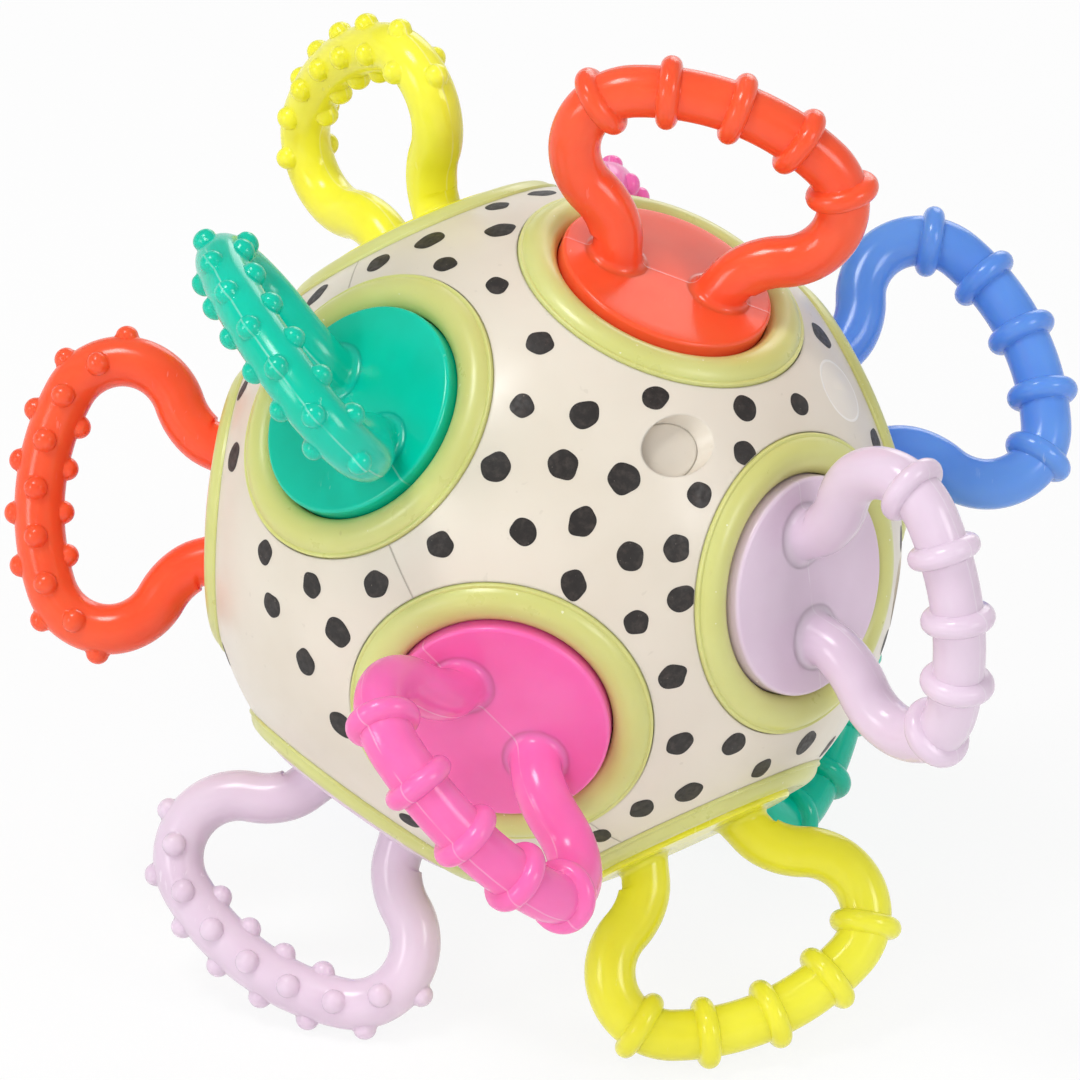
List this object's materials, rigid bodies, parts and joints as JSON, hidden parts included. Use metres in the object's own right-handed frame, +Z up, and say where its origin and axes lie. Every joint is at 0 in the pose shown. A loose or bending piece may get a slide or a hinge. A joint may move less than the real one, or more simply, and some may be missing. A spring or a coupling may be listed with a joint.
{
  "type": "sensory ball",
  "caption": "baby's hollow sensory ball with coloured ribbed and bumpy teether loops that turn and click in round ports",
  "frame": {"origin": "the ball's centre", "axes": "+Z is up as the ball stands on four loops, and +X is the way its pole leans; the picture's viewer is towards -Y"},
  "size_m": [0.1357, 0.1442, 0.1273],
  "materials": {
    "shell_cream": "glossy moulded cream plastic with printed dark dots",
    "bezel_lime": "satin moulded lime plastic",
    "loop_yellow": "soft satin moulded yellow plastic",
    "loop_green": "soft satin moulded green plastic",
    "loop_pink": "soft satin moulded pink plastic",
    "loop_orange": "soft satin moulded orange plastic",
    "loop_lavender": "soft satin moulded lavender plastic",
    "loop_blue": "soft satin moulded blue plastic",
    "click_plastic": "plain natural moulded plastic",
    "screw_steel": "plated steel"
  },
  "bodies": {
    "ball": {"upper_shell": "shell_cream", "lower_shell": "shell_cream", "shell_screws": "screw_steel", "screw_plugs": "shell_cream", "yellow_bump_bezel": "bezel_lime", "yellow_bump_click_spring": "click_plastic", "green_bump_bezel": "bezel_lime", "green_bump_click_spring": "click_plastic", "pink_rib_bezel": "bezel_lime", "pink_rib_click_spring": "click_plastic", "yellow_rib_bezel": "bezel_lime", "yellow_rib_click_spring": "click_plastic", "green_rib_bezel": "bezel_lime", "green_rib_click_spring": "click_plastic", "pink_bump_bezel": "bezel_lime", "pink_bump_click_spring": "click_plastic", "orange_rib_bezel": "bezel_lime", "orange_rib_click_spring": "click_plastic", "lavender_rib_bezel": "bezel_lime", "lavender_rib_click_spring": "click_plastic", "blue_rib_bezel": "bezel_lime", "blue_rib_click_spring": "click_plastic", "orange_bump_bezel": "bezel_lime", "orange_bump_click_spring": "click_plastic", "lavender_bump_bezel": "bezel_lime", "lavender_bump_click_spring": "click_plastic", "blue_bump_bezel": "bezel_lime", "blue_bump_click_spring": "click_plastic"},
    "yellow_bump_unit": {"yellow_bump_loop": "loop_yellow", "yellow_bump_click_wheel": "click_plastic"},
    "green_bump_unit": {"green_bump_loop": "loop_green", "green_bump_click_wheel": "click_plastic"},
    "pink_rib_unit": {"pink_rib_loop": "loop_pink", "pink_rib_click_wheel": "click_plastic"},
    "yellow_rib_unit": {"yellow_rib_loop": "loop_yellow", "yellow_rib_click_wheel": "click_plastic"},
    "green_rib_unit": {"green_rib_loop": "loop_green", "green_rib_click_wheel": "click_plastic"},
    "pink_bump_unit": {"pink_bump_loop": "loop_pink", "pink_bump_click_wheel": "click_plastic"},
    "orange_rib_unit": {"orange_rib_loop": "loop_orange", "orange_rib_click_wheel": "click_plastic"},
    "lavender_rib_unit": {"lavender_rib_loop": "loop_lavender", "lavender_rib_click_wheel": "click_plastic"},
    "blue_rib_unit": {"blue_rib_loop": "loop_blue", "blue_rib_click_wheel": "click_plastic"},
    "orange_bump_unit": {"orange_bump_loop": "loop_orange", "orange_bump_click_wheel": "click_plastic"},
    "lavender_bump_unit": {"lavender_bump_loop": "loop_lavender", "lavender_bump_click_wheel": "click_plastic"},
    "blue_bump_unit": {"blue_bump_loop": "loop_blue", "blue_bump_click_wheel": "click_plastic"}
  },
  "joints": [
    {"name": "yellow_bump_twist", "type": "hinge", "parent": "ball", "child": "yellow_bump_unit", "pos_m": [0, 0, 0], "axis": [-0.5099, 0.4051, 0.7588], "continuous": true, "deforming": ["yellow_bump_click_spring"]},
    {"name": "green_bump_twist", "type": "hinge", "parent": "ball", "child": "green_bump_unit", "pos_m": [0, 0, 0], "axis": [-0.4507, -0.5892, 0.6706], "continuous": true, "deforming": ["green_bump_click_spring"]},
    {"name": "pink_rib_twist", "type": "hinge", "parent": "ball", "child": "pink_rib_unit", "pos_m": [0, 0, 0], "axis": [0.0593, -0.9943, -0.0882], "continuous": true, "deforming": ["pink_rib_click_spring"]},
    {"name": "yellow_rib_twist", "type": "hinge", "parent": "ball", "child": "yellow_rib_unit", "pos_m": [0, 0, 0], "axis": [0.5099, -0.4051, -0.7588], "continuous": true, "deforming": ["yellow_rib_click_spring"]},
    {"name": "green_rib_twist", "type": "hinge", "parent": "ball", "child": "green_rib_unit", "pos_m": [0, 0, 0], "axis": [0.4507, 0.5892, -0.6706], "continuous": true, "deforming": ["green_rib_click_spring"]},
    {"name": "pink_bump_twist", "type": "hinge", "parent": "ball", "child": "pink_bump_unit", "pos_m": [0, 0, 0], "axis": [-0.0593, 0.9943, 0.0882], "continuous": true, "deforming": ["pink_bump_click_spring"]},
    {"name": "orange_rib_twist", "type": "hinge", "parent": "ball", "child": "orange_rib_unit", "pos_m": [0, 0, 0], "axis": [0.3576, -0.0613, 0.9319], "continuous": true, "deforming": ["orange_rib_click_spring"]},
    {"name": "lavender_rib_twist", "type": "hinge", "parent": "ball", "child": "lavender_rib_unit", "pos_m": [0, 0, 0], "axis": [0.8674, -0.4664, 0.1731], "continuous": true, "deforming": ["lavender_rib_click_spring"]},
    {"name": "blue_rib_twist", "type": "hinge", "parent": "ball", "child": "blue_rib_unit", "pos_m": [0, 0, 0], "axis": [0.8082, 0.5278, 0.2613], "continuous": true, "deforming": ["blue_rib_click_spring"]},
    {"name": "orange_bump_twist", "type": "hinge", "parent": "ball", "child": "orange_bump_unit", "pos_m": [0, 0, 0], "axis": [-0.9979, -0.0613, 0.021], "continuous": true, "deforming": ["orange_bump_click_spring"]},
    {"name": "lavender_bump_twist", "type": "hinge", "parent": "ball", "child": "lavender_bump_unit", "pos_m": [0, 0, 0], "axis": [-0.488, -0.4664, -0.7377], "continuous": true, "deforming": ["lavender_bump_click_spring"]},
    {"name": "blue_bump_twist", "type": "hinge", "parent": "ball", "child": "blue_bump_unit", "pos_m": [0, 0, 0], "axis": [-0.5473, 0.5278, -0.6495], "continuous": true, "deforming": ["blue_bump_click_spring"]}
  ]
}
